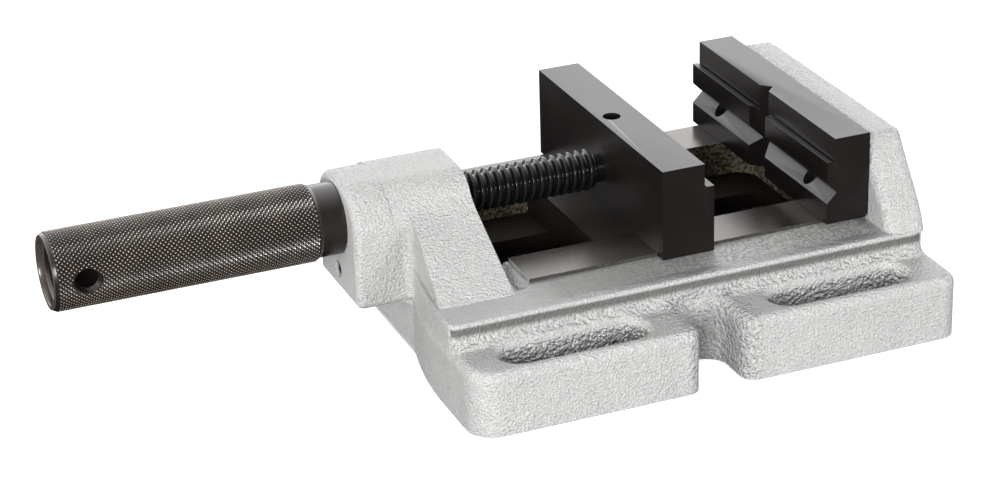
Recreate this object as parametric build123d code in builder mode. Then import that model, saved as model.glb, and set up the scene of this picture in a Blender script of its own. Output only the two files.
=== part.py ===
"""Drill press vise with a telescoping spindle: a non-turning screw carries the jaw and a turning
hollow handle drives it. Sizes in millimetres, +Z up, +X from the handle towards the fixed jaw.
The origin is the middle of the two mounting slots, on the plane that the base stands on."""
import os
from build123d import *

# Base casting
base_half_length = 84.5
lug_side = 86.5
far_side = 47.5
lug_height = 21.5
lug_front_corner = 9.0
lug_rear_corner = 6.0
land_side = 65.0
land_drop = 1.2
land_front_gap = 0.6
land_front_corner = 3.0
land_edge_round = 1.2
land_foot_round = 5.0
lug_edge_round = 3.2
scoop_start_y = 58.0
scoop_depth = 5.5
notch_width = 15.0
notch_depth = 21.0
notch_mouth_round = 5.0
underside_wall = 9.0
underside_edge_round = 6.0
underside_near = 57.0

# Mounting slots for machine table bolts
slot_end_wall = 13.0
slot_line = 74.5
slot_length = 50.0
slot_width = 13.0
slot_rim_round = 2.4

# Ways and the channel between them
way_height = 30.5
way_inner = 28.0
way_outer = 45.7
way_setback = 35.5
runout_width = 6.0
runout_depth = 4.7
runout_half = 49.5
channel_headroom = 0.4
channel_end_wall = 18.5
channel_corner = 8.0
channel_depth = 12.5
channel_floor = 6.0
slit_width = 20.0
slit_front_ledge = 1.5
slit_rear_ledge = 3.5
slit_corner = 3.0

# Spindle axis and its bearing boss
axis_height = way_height + 12.6
boss_overhang = 13.0
boss_width = 37.0
boss_top = way_height + 26.1
boss_bottom = way_height - 13.3
boss_neck_setback = 0.5
boss_under_round = 9.0
boss_edge_round = 2.5
boss_foot_round = 2.0
boss_root_round = 3.5
boss_root_flare = 0.8
boss_top_round = 13.2
shoulder_top_half = 12.8
shoulder_top_round = 12.0
shoulder_knee_half = 19.2
shoulder_knee_drop = 8.8
shoulder_foot_half = 52.0
shoulder_knee_round = 17.0
shoulder_front_setback = 1.9
shoulder_top_setback = 27.3
shoulder_foot_setback = 27.8

# Jaws
jaw_width = 100.0
jaw_rise = 30.0
jaw_step_drop = 8.0
jaw_face_relief = 0.7
fixed_jaw_setback = 29.5
fixed_jaw_thickness = 15.5
fixed_jaw_step = 2.6
jaw_opening = 41.0
moving_jaw_thickness = 18.3
moving_jaw_step = 3.4
moving_jaw_lip = 0.9
jaw_side_clearance = 0.2
groove_drop = 19.0
groove_depth = 3.7
centre_groove_depth = 5.8
fixed_jaw_chamfer = 1.2
jaw_screw_spacing = 66.0
jaw_screw_thread = 6.0
jaw_screw_length = 16.0
jaw_screw_seat = 5.5
screw_head_clearance = 0.5

# Housing behind the fixed jaw
housing_drop = 2.2
housing_side_top = 46.3
housing_rear_inset = 0.1
housing_edge_round = 3.0
housing_front_round = 4.0

# Screw drive
spindle_diameter = 14.0
spindle_neck_diameter = 10.0
spindle_neck_relief = 2.6
spindle_seat_depth = 13.0
spindle_tail = 6.8
spindle_groove_depth = 1.6
spindle_chamfer = 0.8
nut_diameter = 19.0
nut_flange_diameter = 23.0
nut_flange_thickness = 4.0
thread_clearance = 0.03
running_clearance = 0.05
press_gap = 0.02
overshoot = 1.0
washer_thickness = 1.6
bush_diameter = 22.6
bush_length = 30.0
handle_diameter = 26.0
handle_length = 88.0
collar_diameter = 23.8
collar_length = 8.0
handle_bore = 18.5
handle_mouth = 21.0
handle_mouth_depth = 3.0
handle_end_bevel = 2.0
handle_socket_depth = 20.0
tommy_hole_diameter = 8.0
tommy_hole_setback = 10.6
retaining_pin_diameter = 6.0
retaining_pin_setback = 11.5
retaining_groove_depth = 1.6
grub_thread = 6.0
grub_length = 6.0
grub_drop = 18.4
grub_recess = 0.4
grub_socket = 3.0
m6_head = 10.0
m6_head_height = 6.0
m6_socket = 5.0
retaining_groove_width = 6.2
retaining_pin_gap = 0.3
pin_recess = 1.5
jaw_lock_setback = 5.0

# Sliding guide under the moving jaw
guide_rear_overhang = 14.6
guide_side_clearance = 0.2
guide_front_setback = 7.0
tongue_clearance = 0.2
keeper_width = 36.0
keeper_thickness = 5.0
keeper_gap = 0.15
tongue_length = 20.0
guide_screw_thread = 6.0
guide_screw_spacing = 38.0
guide_screw_setback = 4.8
guide_screw_depth = 9.0
guide_head_sink = 0.2
keeper_corner = 2.0
keeper_screw_thread = 5.0
keeper_screw_spacing = 11.0
keeper_screw_depth = 8.0
keeper_head = 8.5
keeper_head_height = 3.5
keeper_socket = 3.0

# Worked out places
home = Location((0, slot_line, 0))
slot_spacing = 2 * (base_half_length - slot_end_wall) - slot_length
boss_front = -base_half_length - boss_overhang
boss_neck = -base_half_length + boss_neck_setback
shoulder_front = -base_half_length + shoulder_front_setback
shoulder_rear_top = -base_half_length + shoulder_top_setback
shoulder_rear_foot = -base_half_length + shoulder_foot_setback
way_front = -base_half_length + way_setback
channel_front = -base_half_length + channel_end_wall
channel_rear = base_half_length - channel_end_wall
slit_front = channel_front + slit_front_ledge
slit_rear = channel_rear - slit_rear_ledge
fixed_jaw_face = base_half_length - fixed_jaw_setback
housing_front = fixed_jaw_face - overshoot
housing_rear = base_half_length - housing_rear_inset
scoop_end_y = boss_width / 2
land_height = way_height - land_drop
channel_z = way_height - channel_depth
underside_z = channel_z - channel_floor
jaw_top = way_height + jaw_rise
housing_top = jaw_top - housing_drop
land_foot = min(land_foot_round, land_height - lug_height - land_edge_round - 0.5)
jaw_half = jaw_width / 2
moving_jaw_face = fixed_jaw_face - jaw_opening
moving_jaw_rear = moving_jaw_face - moving_jaw_thickness
fixed_jaw_rear = fixed_jaw_face + fixed_jaw_thickness
groove_z = jaw_top - groove_drop
step_z = jaw_top - jaw_step_drop
jaw_screw_x = fixed_jaw_rear + jaw_screw_seat
nut_bore = spindle_diameter + 2 * thread_clearance
nut_rear = boss_front - handle_socket_depth
bush_rear = boss_front + bush_length
flange_front = bush_rear + washer_thickness
flange_rear = flange_front + nut_flange_thickness
retaining_x = boss_front + retaining_pin_setback
retaining_pin_top = axis_height - nut_diameter / 2 + retaining_groove_depth - retaining_pin_gap
handle_end = boss_front - collar_length - handle_length
tommy_x = handle_end + tommy_hole_setback
spindle_front = moving_jaw_rear + spindle_seat_depth
spindle_length = spindle_front - nut_rear + spindle_tail
guide_rear = moving_jaw_rear - guide_rear_overhang
guide_front = moving_jaw_face - guide_front_setback
guide_middle = (guide_rear + guide_front) / 2
guide_screw_x = moving_jaw_rear + guide_screw_setback
keeper_screw_front = guide_middle - keeper_screw_spacing / 2
keeper_screw_rear = guide_middle + keeper_screw_spacing / 2
jaw_lock_x = moving_jaw_rear + jaw_lock_setback
collar_front = boss_front - collar_length
boss_rise = boss_top - axis_height
shoulder_foot = land_height - axis_height
keeper_top = underside_z - keeper_gap
boss_axis = Plane(origin=(0, 0, axis_height), x_dir=(0, 1, 0), z_dir=(1, 0, 0))

# Height, near side, far side and corner radius of the housing's sections, from foot to top
housing_sections = [
    (land_height - overshoot, land_side - 0.6, far_side, 3.0),
    (land_height + 4, land_side - 2.4, far_side, 3.0),
    (land_height + 12, housing_side_top + 11.2, far_side - 0.3, 3.0),
    (land_height + 21, housing_side_top + 5, far_side - 0.7, 3.5),
    (housing_top, housing_side_top, far_side - 1.2, 4.0),
]


def along_x(x):
    """The plane square to the spindle axis at x, centred on that axis."""
    return boss_axis.offset(x)


def outline(front, rear, side, front_round, rear_round):
    """The casting's plan: a scooped front, rounded corners on the near side and a straight far side."""
    with BuildSketch() as plan:
        with BuildLine():
            scoop = TangentArc((front, -scoop_start_y), (front + scoop_depth, -scoop_end_y), tangent=(0, 1))
            Polyline(scoop @ 1, (front + scoop_depth, 0), (rear, 0), (rear, -side), (front, -side), scoop @ 0)
        make_face()
        fillet(vertices().sort_by_distance((front, -side))[0], front_round)
        fillet(vertices().sort_by_distance((rear, -side))[0], rear_round)
        mirror(about=Plane.XZ)
        with Locations((0, far_side)):
            Rectangle(2 * rear, side, align=(Align.CENTER, Align.MIN), mode=Mode.SUBTRACT)
    return plan.sketch


def long_edges(height, side):
    """The casting's edges along X at one height and one distance towards the near side."""
    return edges().filter_by(Axis.X).filter_by(
        lambda e: abs(e.center().Z - height) < 0.1 and abs(e.center().Y + side) < 0.1)


def jaw_screw_places():
    """The two jaw screws' places in a plane square to the spindle axis."""
    return Locations((-jaw_screw_spacing / 2, groove_z - axis_height),
                     (jaw_screw_spacing / 2, groove_z - axis_height))


# Body: one casting with two slotted lugs, milled ways, a bearing boss and the fixed jaw's housing.
with BuildPart() as body:
    # Lug plate with a notch in the middle of its near side
    add(outline(-base_half_length, base_half_length, lug_side, lug_front_corner, lug_rear_corner))
    extrude(amount=lug_height)
    with BuildSketch():
        with Locations((0, -lug_side)):
            SlotCenterToCenter(2 * notch_depth - notch_width, notch_width, rotation=90)
    extrude(amount=lug_height, mode=Mode.SUBTRACT)
    mouth = edges().filter_by(Axis.Z).filter_by(
        lambda e: abs(e.center().Y + lug_side) < 0.1 and abs(e.center().X) < notch_width)
    fillet(mouth, notch_mouth_round)
    rim = faces().filter_by(Axis.Z).sort_by(Axis.Z)[-1].outer_wire().edges()
    fillet(rim.filter_by(lambda e: e.center().Y < -scoop_start_y), lug_edge_round)

    # Raised middle that carries the ways
    land_front = -base_half_length + land_front_gap
    add(outline(land_front, base_half_length, land_side, land_front_corner, lug_rear_corner))
    extrude(amount=land_height)
    fillet(long_edges(lug_height, land_side), land_foot)
    fillet(long_edges(land_height, land_side), land_edge_round)

    # Shoulder: its cross section runs back from a nearly square front and falls away to the ways
    with BuildSketch(along_x(-base_half_length)):
        with BuildLine():
            Polyline((0, shoulder_foot), (shoulder_foot_half, shoulder_foot),
                     (shoulder_knee_half, boss_rise - shoulder_knee_drop), (shoulder_top_half, boss_rise),
                     (0, boss_rise), close=True)
        make_face()
        fillet(vertices().sort_by_distance((shoulder_knee_half, boss_rise - shoulder_knee_drop))[0],
               shoulder_knee_round)
        fillet(vertices().sort_by_distance((shoulder_top_half, boss_rise))[0], shoulder_top_round)
        mirror(about=Plane.YZ)
        with Locations((far_side, 0)):
            Rectangle(shoulder_foot_half, 2 * boss_rise, align=(Align.MIN, Align.CENTER), mode=Mode.SUBTRACT)
    extrude(amount=base_half_length + shoulder_rear_foot)
    with BuildSketch(Plane.XY.offset(land_height)):
        with BuildLine():
            Polyline((shoulder_front, -scoop_start_y), (land_front + scoop_depth, -scoop_end_y),
                     (-base_half_length - overshoot, -scoop_end_y),
                     (-base_half_length - overshoot, -scoop_start_y), close=True)
        make_face()
        fillet(vertices().sort_by_distance((land_front + scoop_depth, -scoop_end_y))[0], boss_root_round)
        mirror(about=Plane.XZ)
    extrude(amount=boss_top, mode=Mode.SUBTRACT)

    # Bearing boss standing out in front, with a rounded root under it
    with BuildSketch(along_x(boss_front)):
        with BuildLine():
            Polyline((0, boss_bottom - axis_height), (boss_width / 2, boss_bottom - axis_height),
                     (boss_width / 2, boss_rise), (0, boss_rise), close=True)
        make_face()
        fillet(vertices().sort_by_distance((boss_width / 2, boss_rise))[0], boss_top_round)
        fillet(vertices().sort_by_distance((boss_width / 2, boss_bottom - axis_height))[0], boss_foot_round)
        mirror(about=Plane.YZ)
    extrude(amount=shoulder_rear_top - boss_front)
    fillet(faces().sort_by(Axis.X)[0].outer_wire().edges(), boss_edge_round)
    with BuildSketch(Plane.XY.offset(boss_bottom + boss_foot_round)):
        with BuildLine():
            root_x = land_front + scoop_depth
            tip = (root_x - boss_root_round, scoop_end_y)
            heel = (root_x - boss_root_flare, scoop_end_y + boss_root_round)
            TangentArc(tip, heel, tangent=(1, 0))
            Polyline(heel, (root_x + overshoot, heel[1]), (root_x + overshoot, scoop_end_y), tip)
        make_face()
        mirror(about=Plane.XZ)
    extrude(amount=land_height - boss_bottom - boss_foot_round)
    with BuildSketch(Plane.XZ):
        with BuildLine():
            under = JernArc((boss_neck, boss_bottom), (1, 0), boss_under_round, -90)
            inner_x = boss_neck + 2 * boss_under_round
            Polyline(under @ 1, (inner_x, (under @ 1).Y), (inner_x, boss_bottom + overshoot),
                     (boss_neck, boss_bottom + overshoot), under @ 0)
        make_face()
    extrude(amount=boss_width / 2 - boss_foot_round / 2, both=True)
    with BuildSketch(Plane.XZ):
        with BuildLine():
            Polyline((shoulder_rear_foot, land_height), (shoulder_rear_top, boss_top),
                     (shoulder_rear_top, boss_top + overshoot), (0, boss_top + overshoot), (0, land_height),
                     close=True)
        make_face()
    extrude(amount=land_side, both=True, mode=Mode.SUBTRACT)

    # Housing that backs the fixed jaw, flared where it meets the land
    for height, near, far, corner in housing_sections:
        with BuildSketch(Plane.XY.offset(height)):
            with Locations(((housing_front + housing_rear) / 2, (far - near) / 2)):
                RectangleRounded(housing_rear - housing_front, far + near, corner)
    loft()
    with BuildSketch(Plane.XY.offset(land_height)):
        with Locations((fixed_jaw_rear, 0)):
            Rectangle(fixed_jaw_rear - housing_front + overshoot, 2 * land_side,
                      align=(Align.MAX, Align.CENTER))
    extrude(amount=jaw_top, mode=Mode.SUBTRACT)
    fillet(edges().filter_by(lambda e: abs(e.center().X - fixed_jaw_rear) < 0.1 and e.center().Y < -jaw_half),
           housing_front_round)
    fillet(faces().filter_by(Axis.Z).sort_by(Axis.Z)[-1].outer_wire().edges().filter_by(
        lambda e: e.center().X > fixed_jaw_rear + overshoot), housing_edge_round)

    # Milled ways, with a run-out trough between them and the shoulder
    with BuildSketch(Plane.XY.offset(land_height)):
        with BuildLine():
            Polyline((way_front, way_inner), (fixed_jaw_rear, way_inner), (fixed_jaw_rear, way_outer),
                     (way_front, way_outer), close=True)
        make_face()
        mirror(about=Plane.XZ)
    extrude(amount=land_drop)
    with BuildSketch(Plane.XZ):
        with BuildLine():
            Polyline((way_front, way_height), (way_front - runout_width, way_height - runout_depth),
                     (way_front - runout_width, way_height), close=True)
        make_face()
    extrude(amount=runout_half, both=True, mode=Mode.SUBTRACT)

    # Channel for the guide, the slit through its floor and the hollow underside
    with BuildSketch(Plane.XY.offset(channel_z)):
        with BuildLine():
            Polyline((channel_front, 0), (channel_front, way_inner), (channel_rear, way_inner),
                     (channel_rear, 0), close=True)
        make_face()
        fillet(vertices().sort_by_distance((channel_rear, way_inner))[0], channel_corner)
        mirror(about=Plane.XZ)
    extrude(amount=channel_depth + channel_headroom, mode=Mode.SUBTRACT)
    with BuildSketch(Plane.XY.offset(channel_z)):
        with Locations(((slit_front + slit_rear) / 2, 0)):
            RectangleRounded(slit_rear - slit_front, slit_width, slit_corner)
    extrude(amount=-channel_z, mode=Mode.SUBTRACT)
    with BuildSketch():
        with Locations((scoop_depth / 2, (far_side - underside_wall - underside_near) / 2)):
            RectangleRounded(2 * (base_half_length - underside_wall) - scoop_depth,
                             far_side - underside_wall + underside_near, underside_edge_round)
    extrude(amount=underside_z, mode=Mode.SUBTRACT)

    # Two mounting slots with softened rims
    with BuildSketch():
        with Locations((-slot_spacing / 2, -slot_line), (slot_spacing / 2, -slot_line)):
            SlotOverall(slot_length, slot_width)
    extrude(amount=land_height, mode=Mode.SUBTRACT)
    rims = edges().filter_by(
        lambda e: e.center().Z > lug_height - 0.1 and abs(e.center().Y + slot_line) < slot_width / 2 + 0.1
        and abs(abs(e.center().X) - slot_spacing / 2) < slot_length / 2 + 0.1)
    fillet(rims, slot_rim_round)

    # Bearing bore, counterbore for the nut's flange, the retaining pin's hole and its grub screw's
    with BuildSketch(along_x(boss_front)):
        Circle(bush_diameter / 2 + press_gap)
    extrude(amount=bush_length, mode=Mode.SUBTRACT)
    with BuildSketch(along_x(bush_rear)):
        Circle(nut_flange_diameter / 2 + running_clearance)
    extrude(amount=-bush_rear, mode=Mode.SUBTRACT)
    with BuildSketch(Plane.XY.offset(boss_bottom)):
        with Locations((retaining_x, 0)):
            Circle(retaining_pin_diameter / 2 + press_gap)
    extrude(amount=axis_height - boss_bottom, mode=Mode.SUBTRACT)
    with BuildSketch(along_x(boss_front)):
        with Locations((0, -grub_drop)):
            Circle(grub_thread / 2 + press_gap)
    extrude(amount=retaining_pin_setback, mode=Mode.SUBTRACT)

    # Holes through the housing for the fixed jaw's two screws, and sunk seats for their heads
    with BuildSketch(along_x(fixed_jaw_rear)):
        with jaw_screw_places():
            Circle(jaw_screw_thread / 2 + running_clearance)
    extrude(amount=base_half_length - fixed_jaw_rear, mode=Mode.SUBTRACT)
    with BuildSketch(along_x(jaw_screw_x)):
        with jaw_screw_places():
            Circle(m6_head / 2 + screw_head_clearance)
    extrude(amount=base_half_length - jaw_screw_x, mode=Mode.SUBTRACT)
body.part.label = "body"
export_step(body.part.moved(home), "parts/body.step")

# Fixed jaw: a step for thin work along the top, a level V groove and an upright one for round work.
with BuildPart() as fixed_jaw:
    with BuildSketch(Plane.XZ):
        with BuildLine():
            Polyline((fixed_jaw_face, way_height), (fixed_jaw_face, groove_z - groove_depth),
                     (fixed_jaw_face + groove_depth, groove_z), (fixed_jaw_face, groove_z + groove_depth),
                     (fixed_jaw_face, step_z), (fixed_jaw_face + fixed_jaw_step, step_z),
                     (fixed_jaw_face + fixed_jaw_step, jaw_top), (fixed_jaw_rear, jaw_top),
                     (fixed_jaw_rear, way_height), close=True)
        make_face()
    extrude(amount=jaw_half, both=True)
    chamfer(edges().filter_by(Axis.Y).sort_by_distance((fixed_jaw_rear, 0, way_height))[0], fixed_jaw_chamfer)
    with BuildSketch(Plane.XY.offset(way_height)):
        with BuildLine():
            Polyline((fixed_jaw_face, -centre_groove_depth), (fixed_jaw_face + centre_groove_depth, 0),
                     (fixed_jaw_face, centre_groove_depth), close=True)
        make_face()
    extrude(amount=jaw_rise, mode=Mode.SUBTRACT)
    with BuildSketch(Plane.XZ):
        with Locations((fixed_jaw_face + fixed_jaw_step - jaw_face_relief / 2, step_z)):
            Rectangle(jaw_face_relief, 2 * jaw_face_relief)
    extrude(amount=jaw_half, both=True, mode=Mode.SUBTRACT)
    with BuildSketch(along_x(fixed_jaw_face)):
        with jaw_screw_places():
            Circle(jaw_screw_thread / 2 + press_gap)
    extrude(amount=fixed_jaw_thickness, mode=Mode.SUBTRACT)
fixed_jaw.part.label = "fixed_jaw"
export_step(fixed_jaw.part.moved(home), "parts/fixed_jaw.step")


def cap_screw(seat, thread, length, head, head_height, socket):
    """A socket head cap screw standing on a plane, its head above and its shank below."""
    rise = Axis(seat.origin, seat.z_dir)
    with BuildPart() as screw:
        with BuildSketch(seat):
            Circle(head / 2)
        extrude(amount=head_height)
        chamfer(edges().filter_by(GeomType.CIRCLE).sort_by(rise)[-1], head_height / 12)
        with BuildSketch(seat):
            Circle(thread / 2)
        extrude(amount=-length)
        chamfer(edges().filter_by(GeomType.CIRCLE).sort_by(rise)[0], thread / 10)
        with BuildSketch(seat.offset(head_height)):
            RegularPolygon(socket / 2, 6, major_radius=False)
        extrude(amount=-head_height * 0.6, mode=Mode.SUBTRACT)
    return screw.part


def grub_screw(tip, thread, length, socket):
    """A headless socket screw reaching up from a plane, its socket at the far end."""
    with BuildPart() as screw:
        with BuildSketch(tip):
            Circle(thread / 2)
        extrude(amount=length)
        chamfer(edges().filter_by(GeomType.CIRCLE), thread / 10)
        with BuildSketch(tip.offset(length)):
            RegularPolygon(socket / 2, 6, major_radius=False)
        extrude(amount=-length / 2, mode=Mode.SUBTRACT)
    return screw.part


# Two cap screws pull the fixed jaw against its housing from behind, their ends in the jaw's groove.
with BuildPart() as fixed_jaw_screws:
    for side in (-1, 1):
        place = Plane(origin=(jaw_screw_x, side * jaw_screw_spacing / 2, groove_z), z_dir=(1, 0, 0))
        add(cap_screw(place, jaw_screw_thread, jaw_screw_length, m6_head, m6_head_height, m6_socket))
fixed_jaw_screws.part.label = "fixed_jaw_screws"
export_step(fixed_jaw_screws.part.moved(home), "parts/fixed_jaw_screws.step")

# Bronze bush pressed into the boss, cut away where the retaining pin passes
with BuildPart() as bearing_bush:
    with BuildSketch(along_x(boss_front)):
        Circle(bush_diameter / 2)
        Circle(nut_diameter / 2 + running_clearance, mode=Mode.SUBTRACT)
    extrude(amount=bush_length)
    with BuildSketch(Plane.XY.offset(boss_bottom)):
        with Locations((retaining_x, 0)):
            Circle(retaining_pin_diameter / 2 + press_gap)
    extrude(amount=axis_height - boss_bottom, mode=Mode.SUBTRACT)
bearing_bush.part.label = "bearing_bush"
export_step(bearing_bush.part.moved(home), "parts/bearing_bush.step")

# Hardened washer that takes the clamping thrust between the nut's flange and the boss
with BuildPart() as thrust_washer:
    with BuildSketch(along_x(bush_rear)):
        Circle(nut_flange_diameter / 2)
        Circle(nut_diameter / 2 + running_clearance, mode=Mode.SUBTRACT)
    extrude(amount=washer_thickness)
thrust_washer.part.label = "thrust_washer"
export_step(thrust_washer.part.moved(home), "parts/thrust_washer.step")

# Drive nut: it turns in the bush, its flange behind the boss and its front end inside the handle.
with BuildPart() as drive_nut:
    with BuildSketch(along_x(nut_rear)):
        Circle(nut_diameter / 2)
    extrude(amount=flange_rear - nut_rear)
    with BuildSketch(along_x(flange_front)):
        Circle(nut_flange_diameter / 2)
    extrude(amount=nut_flange_thickness)
    with BuildSketch(along_x(retaining_x - retaining_groove_width / 2)):
        Circle(nut_diameter)
        Circle(nut_diameter / 2 - retaining_groove_depth, mode=Mode.SUBTRACT)
    extrude(amount=retaining_groove_width, mode=Mode.SUBTRACT)
    with BuildSketch(along_x(nut_rear)):
        Circle(nut_bore / 2)
    extrude(amount=flange_rear - nut_rear, mode=Mode.SUBTRACT)
drive_nut.part.label = "drive_nut"
export_step(drive_nut.part.moved(home), "parts/drive_nut.step")

# Retaining pin: pushed up from under the boss into the nut's groove.
with BuildPart() as retaining_pin:
    with BuildSketch(Plane.XY.offset(boss_bottom + pin_recess)):
        with Locations((retaining_x, 0)):
            Circle(retaining_pin_diameter / 2)
    extrude(amount=retaining_pin_top - boss_bottom - pin_recess)
    chamfer(edges().filter_by(GeomType.CIRCLE), retaining_pin_diameter / 12)
retaining_pin.part.label = "retaining_pin"
export_step(retaining_pin.part.moved(home), "parts/retaining_pin.step")

# Grub screw in the boss's front face that locks the retaining pin
grub_tip = retaining_x - retaining_pin_diameter / 2
pin_grub = Plane(origin=(grub_tip, 0, axis_height - grub_drop), z_dir=(-1, 0, 0))
with BuildPart() as pin_grub_screw:
    add(grub_screw(pin_grub, grub_thread, grub_tip - boss_front - grub_recess, grub_socket))
pin_grub_screw.part.label = "pin_grub_screw"
export_step(pin_grub_screw.part.moved(home), "parts/pin_grub_screw.step")

# Handle: a hollow grip with a plain collar that meets the boss, cross drilled near its end.
with BuildPart() as handle:
    with BuildSketch(Plane.XZ):
        with BuildLine():
            grip = handle_diameter / 2
            collar = collar_diameter / 2
            mouth = handle_mouth / 2
            Polyline((handle_end, axis_height + mouth),
                     (handle_end, axis_height + grip - handle_end_bevel / 2),
                     (handle_end + handle_end_bevel, axis_height + grip),
                     (collar_front - handle_end_bevel, axis_height + grip),
                     (collar_front, axis_height + collar),
                     (boss_front - running_clearance, axis_height + collar),
                     (boss_front - running_clearance, axis_height + nut_diameter / 2 + press_gap),
                     (nut_rear - press_gap, axis_height + nut_diameter / 2 + press_gap),
                     (nut_rear - press_gap, axis_height + handle_bore / 2),
                     (handle_end + handle_mouth_depth, axis_height + handle_bore / 2),
                     (handle_end + handle_mouth_depth - 1, axis_height + mouth), close=True)
        make_face()
    revolve(axis=Axis((0, 0, axis_height), (1, 0, 0)))
    with BuildSketch(Plane.XZ.offset(-handle_diameter)):
        with Locations((tommy_x, axis_height)):
            Circle(tommy_hole_diameter / 2)
    extrude(amount=2 * handle_diameter, mode=Mode.SUBTRACT)
handle.part.label = "handle"
export_step(handle.part.moved(home), "parts/handle.step")

# Spindle: it does not turn. Its neck sits in the moving jaw and its thread runs back through the nut.
with BuildPart() as spindle:
    with BuildSketch(along_x(spindle_front)):
        Circle(spindle_neck_diameter / 2)
    extrude(amount=-spindle_seat_depth - spindle_neck_relief)
    with BuildSketch(along_x(moving_jaw_rear - spindle_neck_relief)):
        Circle(spindle_diameter / 2)
    extrude(amount=-(spindle_length - spindle_seat_depth - spindle_neck_relief))
    ends = edges().filter_by(GeomType.CIRCLE).sort_by(Axis.X)
    chamfer([ends[0], ends[-1]], spindle_chamfer)
    with BuildSketch(along_x(jaw_lock_x - grub_thread / 2)):
        Circle(spindle_diameter)
        Circle(spindle_neck_diameter / 2 - spindle_groove_depth, mode=Mode.SUBTRACT)
    extrude(amount=grub_thread, mode=Mode.SUBTRACT)
spindle.part.label = "spindle"
export_step(spindle.part.moved(home), "parts/spindle.step")

# Moving jaw: a stepped block on the ways, with a small lip down each side of them.
with BuildPart() as moving_jaw:
    with BuildSketch(Plane.XZ):
        with BuildLine():
            Polyline((moving_jaw_rear, way_height - moving_jaw_lip), (moving_jaw_rear, jaw_top),
                     (moving_jaw_face - moving_jaw_step, jaw_top),
                     (moving_jaw_face - moving_jaw_step, step_z),
                     (moving_jaw_face, step_z), (moving_jaw_face, way_height - moving_jaw_lip), close=True)
        make_face()
    extrude(amount=jaw_half, both=True)
    with BuildSketch(Plane.XY):
        with Locations((moving_jaw_face - moving_jaw_thickness / 2, 0)):
            Rectangle(2 * moving_jaw_thickness, 2 * (way_outer + jaw_side_clearance))
    extrude(amount=way_height, mode=Mode.SUBTRACT)
    with BuildSketch(Plane.XZ):
        with Locations((moving_jaw_face - moving_jaw_step + jaw_face_relief / 2, step_z)):
            Rectangle(jaw_face_relief, 2 * jaw_face_relief)
    extrude(amount=jaw_half, both=True, mode=Mode.SUBTRACT)
    with BuildSketch(along_x(moving_jaw_rear)):
        Circle(spindle_neck_diameter / 2 + press_gap)
    extrude(amount=spindle_seat_depth, mode=Mode.SUBTRACT)
    with BuildSketch(Plane.XY.offset(axis_height)):
        with Locations((jaw_lock_x, 0)):
            Circle(grub_thread / 2 + press_gap)
    extrude(amount=jaw_top - axis_height, mode=Mode.SUBTRACT)
    with BuildSketch(Plane.XY.offset(way_height)):
        with Locations((guide_screw_x, guide_screw_spacing / 2), (guide_screw_x, -guide_screw_spacing / 2)):
            Circle(guide_screw_thread / 2 + press_gap)
    extrude(amount=guide_screw_depth + overshoot, mode=Mode.SUBTRACT)
moving_jaw.part.label = "moving_jaw"
export_step(moving_jaw.part.moved(home), "parts/moving_jaw.step")

# Grub screw down the moving jaw's top hole that holds the spindle's neck
jaw_lock = Plane.XY.offset(axis_height + spindle_neck_diameter / 2 - spindle_groove_depth)
jaw_lock.origin = jaw_lock.origin + Vector(jaw_lock_x, 0, 0)
with BuildPart() as spindle_lock_screw:
    add(grub_screw(jaw_lock, grub_thread, grub_length, grub_socket))
spindle_lock_screw.part.label = "spindle_lock_screw"
export_step(spindle_lock_screw.part.moved(home), "parts/spindle_lock_screw.step")

# Guide block: it slides on the channel's floor, with a tongue down through the slit.
with BuildPart() as guide_block:
    with BuildSketch(Plane.XY.offset(channel_z)):
        with Locations((guide_middle, 0)):
            Rectangle(guide_front - guide_rear, 2 * (way_inner - guide_side_clearance))
    extrude(amount=channel_depth)
    with BuildSketch(Plane.XY.offset(channel_z)):
        with Locations((guide_middle, 0)):
            RectangleRounded(tongue_length, slit_width - 2 * tongue_clearance, slit_corner)
    extrude(amount=keeper_top - channel_z)
    with BuildSketch(Plane.XY.offset(channel_z)):
        with Locations((guide_screw_x, guide_screw_spacing / 2), (guide_screw_x, -guide_screw_spacing / 2)):
            Circle(guide_screw_thread / 2 + running_clearance)
    extrude(amount=channel_depth, mode=Mode.SUBTRACT)
    with BuildSketch(Plane.XY.offset(channel_z)):
        with Locations((guide_screw_x, guide_screw_spacing / 2), (guide_screw_x, -guide_screw_spacing / 2)):
            Circle(m6_head / 2 + screw_head_clearance)
    extrude(amount=m6_head_height, mode=Mode.SUBTRACT)
    with BuildSketch(Plane.XY.offset(keeper_top)):
        with Locations((keeper_screw_front, 0), (keeper_screw_rear, 0)):
            Circle(keeper_screw_thread / 2 + press_gap)
    extrude(amount=keeper_screw_depth + overshoot, mode=Mode.SUBTRACT)
guide_block.part.label = "guide_block"
export_step(guide_block.part.moved(home), "parts/guide_block.step")

# Two screws pull the guide block up against the moving jaw.
with BuildPart() as guide_screws:
    for side in (-1, 1):
        place = Plane(origin=(guide_screw_x, side * guide_screw_spacing / 2, channel_z + m6_head_height),
                      z_dir=(0, 0, -1))
        add(cap_screw(place, guide_screw_thread, channel_depth - m6_head_height + guide_screw_depth,
                      m6_head, m6_head_height - guide_head_sink, m6_socket))
guide_screws.part.label = "guide_screws"
export_step(guide_screws.part.moved(home), "parts/guide_screws.step")

# Keeper plate under the channel's floor, held to the tongue by two screws
with BuildPart() as keeper_plate:
    with BuildSketch(Plane.XY.offset(keeper_top)):
        with Locations((guide_middle, 0)):
            RectangleRounded(guide_front - guide_rear, keeper_width, keeper_corner)
    extrude(amount=-keeper_thickness)
    with BuildSketch(Plane.XY.offset(keeper_top)):
        with Locations((keeper_screw_front, 0), (keeper_screw_rear, 0)):
            Circle(keeper_screw_thread / 2 + running_clearance)
    extrude(amount=-keeper_thickness, mode=Mode.SUBTRACT)
keeper_plate.part.label = "keeper_plate"
export_step(keeper_plate.part.moved(home), "parts/keeper_plate.step")

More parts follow.
